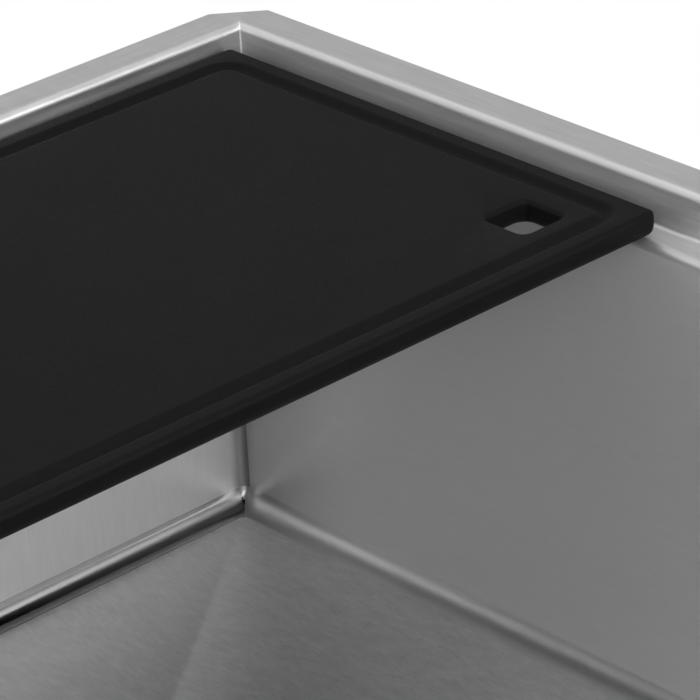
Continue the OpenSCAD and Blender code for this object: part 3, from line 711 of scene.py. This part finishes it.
strainer = {
    "centre": (-222, 0), "flangeRadius": 57, "flangeTop": -259.5, "flangeThick": 1.8, "cupRadius": 43.5,
    "cupWall": 2.5, "coneTop": -307.5, "plate": -315.5, "outletTop": -318, "outletEnd": -335, "outletRadius": 23.7,
    "outletWall": 3.6, "threadPitch": 3.2, "threadDepth": 0.5, "threadFlanks": (0.3, 0.5, 0.8),
    "barWidth": 4, "barHeight": 3, "hubRadius": 6.5, "hubBore": 3.3,
}


def threadPoints(radius, fromZ, toZ):
    # Outline of a rolled thread, cut inwards from its crest. Its flanks begin and end at these shares of the pitch
    pitch, depth = strainer["threadPitch"], strainer["threadDepth"]
    crestEnd, rootStart, rootEnd = strainer["threadFlanks"]
    turns = int(abs(fromZ - toZ) / pitch)
    step = (toZ - fromZ) / turns
    points = []
    for i in range(turns):
        z = fromZ + i * step
        points += [(radius, z), (radius, z + crestEnd * step), (radius - depth, z + rootStart * step),
                   (radius - depth, z + rootEnd * step)]
    return points + [(radius, toZ)]


def buildStrainer():
    bm = bmesh.new()
    flange, top, cup, cone = (strainer[key] for key in ("flangeRadius", "flangeTop", "cupRadius", "coneTop"))
    plate, outlet, outletTop, end = (strainer[key] for key in ("plate", "outletRadius", "outletTop", "outletEnd"))
    inner, bore, under = cup - strainer["cupWall"], outlet - strainer["outletWall"], top - strainer["flangeThick"]
    profile = [(flange - 0.2, top - 1.2), (flange - 0.6, top - 0.5), (flange - 1.4, top - 0.1), (flange - 2.6, top),
               (inner + 2.2, top), (inner + 1.2, top - 0.25), (inner + 0.4, top - 0.9), (inner, top - 1.9),
               (inner, cone + 0.4), (inner - 0.4, cone - 0.1), (bore + 2.9, plate + 0.4), (bore + 2.3, plate),
               (bore + 0.5, plate), (bore, plate - 0.5), (bore, end + 0.4), (bore + 0.4, end), (outlet - 0.5, end)]
    profile += threadPoints(outlet, end + 0.6, outletTop - 2)
    profile += [(outlet, outletTop), (bore + 5, outletTop), (cup, cone)]
    profile += threadPoints(cup, cone + 2, under - 4)
    profile += [(cup, under), (flange - 0.4, under), (flange, under + 0.3)]
    spinProfile(bm, profile, strainer["centre"], steps=160)
    # Crossed bars and a hub under the cup's plate
    reach, width, height = 2 * (bore + strainer["outletWall"] / 2), strainer["barWidth"], strainer["barHeight"]
    middle = Vector((strainer["centre"][0], 0, plate - height / 2))
    for size in ((reach, width, height), (width, reach, height)):
        bar = bmesh.new()
        bmesh.ops.create_cube(bar, size=1, matrix=Matrix.Translation(middle) @ Matrix.Diagonal((*size, 1)))
        bevelEdges(bar, 0.4, angle=60, segments=2)
        joinInto(bm, bar)
    hub = bmesh.new()
    low, high, guide, hubRadius = plate - height, plate + 0.01, strainer["hubBore"], strainer["hubRadius"]
    outline = roundCorners([(guide, low), (hubRadius, low), (hubRadius, high), (guide, high)], 0.5)
    spinProfile(hub, outline, strainer["centre"], 48)
    joinInto(bm, hub)
    return bm


def joinInto(bm, other):
    mesh = bpy.data.meshes.new("part")
    bmesh.ops.recalc_face_normals(other, faces=other.faces)
    other.to_mesh(mesh)
    other.free()
    bm.from_mesh(mesh)
    bpy.data.meshes.remove(mesh)


finishPiece(buildStrainer(), "strainerCup", "sink", [polishedSteel], ("strainer_body",))

knob = {"top": -254.5, "foot": -264.5, "radius": 11, "neck": 6, "bore": 3.05, "boreTop": -258.5}
post = {"foot": -318.5, "top": -258.5, "radius": 3, "collarLow": -306.74, "collarHigh": -300.74, "collar": 6}
seal = {"low": -310.24, "high": -306.74, "radius": 34, "bore": 3.05}
tail = {"top": -336.5, "lip": -338.5, "flange": 22.5, "neck": 19.25, "neckEnd": -345.5, "radius": 19.05, "bore": 17.85,
        "end": -438.1}


def turnedPiece(profile, steps, name, body, material, node):
    bm = bmesh.new()
    spinProfile(bm, profile, strainer["centre"], steps)
    finishPiece(bm, name, body, [material], (node,))


def knobProfile():
    # A waisted grip with a dished top
    bore, foot, neck, radius, top = (knob[key] for key in ("bore", "foot", "neck", "radius", "top"))
    return [(bore, foot + 0.3), (bore + 0.3, foot), (neck - 0.5, foot), (neck - 0.1, foot + 0.4),
            (neck - 0.6, foot + 2.5), (neck - 0.4, foot + 4.2), (neck + 0.8, foot + 5.0), (radius - 1.4, foot + 5.4),
            (radius - 0.4, foot + 5.9), (radius, foot + 6.8), (radius, top - 1.6), (radius - 0.5, top - 0.6),
            (radius - 1.6, top - 0.05), (radius - 2.6, top), (radius - 4.5, top - 0.5), (2.5, top - 0.9),
            (0, top - 0.95), (0, knob["boreTop"]), (bore, knob["boreTop"])]


def postProfile():
    # A rod with a rounded foot and a collar that the basket sits on
    foot, top, radius = (post[key] for key in ("foot", "top", "radius"))
    collar, low, high = (post[key] for key in ("collar", "collarLow", "collarHigh"))
    return [(0, foot), (radius - 0.9, foot), (radius - 0.2, foot + 0.7), (radius, foot + 1.4), (radius, low),
            (collar - 0.4, low), (collar, low + 0.4), (collar, high - 0.4), (collar - 0.4, high), (radius, high),
            (radius, top - 0.4), (radius - 0.4, top), (0, top)]


def sealProfile():
    # A rubber disc with a rounded rim and a groove moulded in its top
    low, high, radius, bore = (seal[key] for key in ("low", "high", "radius", "bore"))
    return [(bore, low + 0.3), (bore + 0.3, low), (radius - 5, low), (radius - 1.2, low + 0.9),
            (radius - 0.2, low + 1.5), (radius, low + 2.1), (radius - 0.2, high - 0.8), (radius - 1, high - 0.2),
            (radius - 2, high), (radius - 5, high), (radius - 5.8, high - 0.6), (radius - 7.6, high - 0.6),
            (radius - 8.4, high), (bore + 0.3, high), (bore, high - 0.3)]


def tailProfile():
    # A flanged tube
    top, lip, flange, neck, neckEnd = (tail[key] for key in ("top", "lip", "flange", "neck", "neckEnd"))
    radius, bore, end = (tail[key] for key in ("radius", "bore", "end"))
    return roundCorners([(bore, top), (flange, top), (flange, lip), (neck, lip), (neck, neckEnd),
                         (radius, neckEnd - 0.4), (radius, end), (bore, end)], 0.4, 3)


turnedPiece(knobProfile(), 72, "basketKnob", "basket", knobPlastic, "basket_knob")
turnedPiece(postProfile(), 48, "basketPost", "basket", satinSteel, "basket_post")
turnedPiece(sealProfile(), 96, "basketSeal", "basket", blackRubber, "basket_seal")
turnedPiece(tailProfile(), 120, "tailTube", "sink", chromedTube, "tailpiece")

for node, name, slot, material, width in (("locknut", "lugNut", "cast_zinc", castZinc, 0.6),
                                          ("coupling_nut", "slipNut", "cast_zinc", castZinc, 0.5)):
    bm = copyOfNode(node)
    bevelEdges(bm, width, angle=55, segments=2)
    finishPiece(bm, name, "sink", [material], (node,), sharpAngle=40)

# The model's own solids, with a better finish
for node, material in (("flange_gasket", gasketFoam), ("rubber_washer", blackRubber), ("fibre_washer", fibreBoard),
                       ("tailpiece_washer", whitePlastic), ("strainer_basket", satinSteel),
                       ("basket_retainer", satinSteel)):
    nodes[node].data.materials.clear()
    nodes[node].data.materials.append(material)
print("strainer built")


# Floor, light and camera

studio = {
    "floorZ": -438.1, "floorSize": 14000, "fadeFrom": 520, "fadeTo": 1100, "floorColour": "#E9E9E8",
    "ambient": 0.45,
    "lamps": {  # place, size and radiance of each soft lamp; all face the sink
        "overheadSoftbox": ((400, -100, 1700), (1500, 1100), 1.4),
        "keySoftbox": ((2000, -1780, 1360), (2700, 1150), 4.7),
        "sideSoftbox": ((2500, 900, 1000), (1600, 1200), 5.0),
    },
    "cards": {  # place, size and brightness
        "backLeftCard": ((-2000, 1780, 1356), (4200, 3400), 0.56),
        "backRightCard": ((900, 2600, 1500), (3000, 2600), 0.72),
    },
}

bm = bmesh.new()
bmesh.ops.create_grid(bm, x_segments=2, y_segments=2, size=studio["floorSize"] * mm / 2,
                      matrix=Matrix.Translation((0, 0, studio["floorZ"] * mm)))
floorMesh = bpy.data.meshes.new("studioFloor")
bm.to_mesh(floorMesh)
bm.free()
studioFloor = bpy.data.objects.new("studioFloor", floorMesh)
scene.collection.objects.link(studioFloor)


def raysToBackdrop(tree):
    # 1 for the rays that see the plain white background: the camera's, and those that metal and glass send on
    path = addNode(tree, "LightPath")
    seen = path.outputs["Is Camera Ray"]
    for kind in ("Is Glossy Ray", "Is Transmission Ray"):
        seen = addNode(tree, "Math", {0: seen, 1: path.outputs[kind]}, operation="MAXIMUM").outputs[0]
    return seen


# Painted studio floor: pale and matt near the sink, so that it keeps the shadow, and plain white further out
floorPaint, tree = newMaterial("paintedStudioFloor")
coords = addNode(tree, "TexCoord").outputs["Object"]
reach = addNode(tree, "VectorMath", {0: coords}, operation="LENGTH").outputs["Value"]
fade = addNode(tree, "MapRange", {"From Min": studio["fadeFrom"] * mm, "From Max": studio["fadeTo"] * mm,
                                  "Value": reach}, interpolation_type="SMOOTHSTEP").outputs["Result"]
paint = addNode(tree, "BsdfDiffuse", {"Color": hexToLinear(studio["floorColour"])}).outputs["BSDF"]
white = addNode(tree, "Emission", {"Color": (1, 1, 1, 1), "Strength": 1.0}).outputs["Emission"]
share = addNode(tree, "Math", {0: raysToBackdrop(tree), 1: fade}, operation="MULTIPLY").outputs[0]
upperFace = addNode(tree, "MixShader", {"Fac": share, 1: paint, 2: white}).outputs["Shader"]
clear = addNode(tree, "BsdfTransparent").outputs["BSDF"]
below = addNode(tree, "NewGeometry").outputs["Backfacing"]  # seen from below, the floor doesn't hide the sink
bothFaces = addNode(tree, "MixShader", {"Fac": below, 1: upperFace, 2: clear}).outputs["Shader"]
addNode(tree, "OutputMaterial", {"Surface": bothFaces})
floorMesh.materials.append(floorPaint)

world = bpy.data.worlds.new("whiteRoom")
scene.world = world
world.use_nodes = True
tree = world.node_tree
tree.nodes.clear()
room = addNode(tree, "Background", {"Color": (1, 1, 1, 1), "Strength": studio["ambient"]}).outputs["Background"]
backdrop = addNode(tree, "Background", {"Color": (1, 1, 1, 1), "Strength": 1.0}).outputs["Background"]
mixed = addNode(tree, "MixShader", {"Fac": raysToBackdrop(tree), 1: room, 2: backdrop}).outputs["Shader"]
addNode(tree, "OutputWorld", {"Surface": mixed})


def softbox(name, place, size, radiance):
    # A soft lamp that faces the sink, and whose face has this radiance
    light = bpy.data.lights.new(name, "AREA")
    light.shape = "RECTANGLE"
    light.size, light.size_y = size[0] * mm, size[1] * mm
    light.energy = radiance * math.pi * light.size * light.size_y
    lamp = bpy.data.objects.new(name, light)
    scene.collection.objects.link(lamp)
    lamp.location = Vector(place) * mm
    lamp.rotation_euler = (-lamp.location).to_track_quat("-Z", "Y").to_euler()
    lamp.visible_camera = False


for name, (place, size, radiance) in studio["lamps"].items():
    softbox(name, place, size, radiance)

# Grey cards stand behind the sink. Only mirror-like surfaces see them, and they keep the rim from turning white
for name, (place, size, brightness) in studio["cards"].items():
    facing = (-Vector(place)).to_track_quat("Z", "Y").to_matrix().to_4x4()
    placed = Matrix.Translation(Vector(place) * mm) @ facing @ Matrix.Diagonal((size[0] * mm, size[1] * mm, 1, 1))
    bm = bmesh.new()
    bmesh.ops.create_grid(bm, x_segments=1, y_segments=1, size=0.5, matrix=placed)
    cardMesh = bpy.data.meshes.new(name)
    bm.to_mesh(cardMesh)
    bm.free()
    greyCard = bpy.data.objects.new(name, cardMesh)
    scene.collection.objects.link(greyCard)
    greyCard.visible_camera = greyCard.visible_diffuse = False
    greyCard.visible_shadow = greyCard.visible_transmission = False
    cardPaint, tree = newMaterial(name + "Paint")
    glow = addNode(tree, "Emission", {"Color": (1, 1, 1, 1), "Strength": brightness}).outputs["Emission"]
    addNode(tree, "OutputMaterial", {"Surface": glow})
    cardMesh.materials.append(cardPaint)

# The camera's place and direction, fitted to the photograph's straight edges
view = {"place": (1017.5, -955.1, 754.6), "azimuth": 48.36, "elevation": 26.87, "roll": -3.07, "lens": 214.09,
        "sensor": 36, "farClip": 50000}
azimuth, elevation, roll = (math.radians(view[key]) for key in ("azimuth", "elevation", "roll"))
back = Vector((math.sin(azimuth) * math.cos(elevation), -math.cos(azimuth) * math.cos(elevation), math.sin(elevation)))
levelRight = Vector((math.cos(azimuth), math.sin(azimuth), 0))
levelUp = back.cross(levelRight)
right = levelRight * math.cos(roll) + levelUp * math.sin(roll)
up = levelUp * math.cos(roll) - levelRight * math.sin(roll)
cameraData = bpy.data.cameras.new("photoCamera")
cameraData.lens, cameraData.sensor_width, cameraData.clip_end = view["lens"], view["sensor"], view["farClip"] * mm
camera = bpy.data.objects.new("photoCamera", cameraData)
scene.collection.objects.link(camera)
camera.matrix_world = Matrix.Translation(Vector(view["place"]) * mm) @ Matrix((right, up, back)).transposed().to_4x4()
scene.camera = camera
scene.view_settings.view_transform = "Standard"
print("camera and light set")
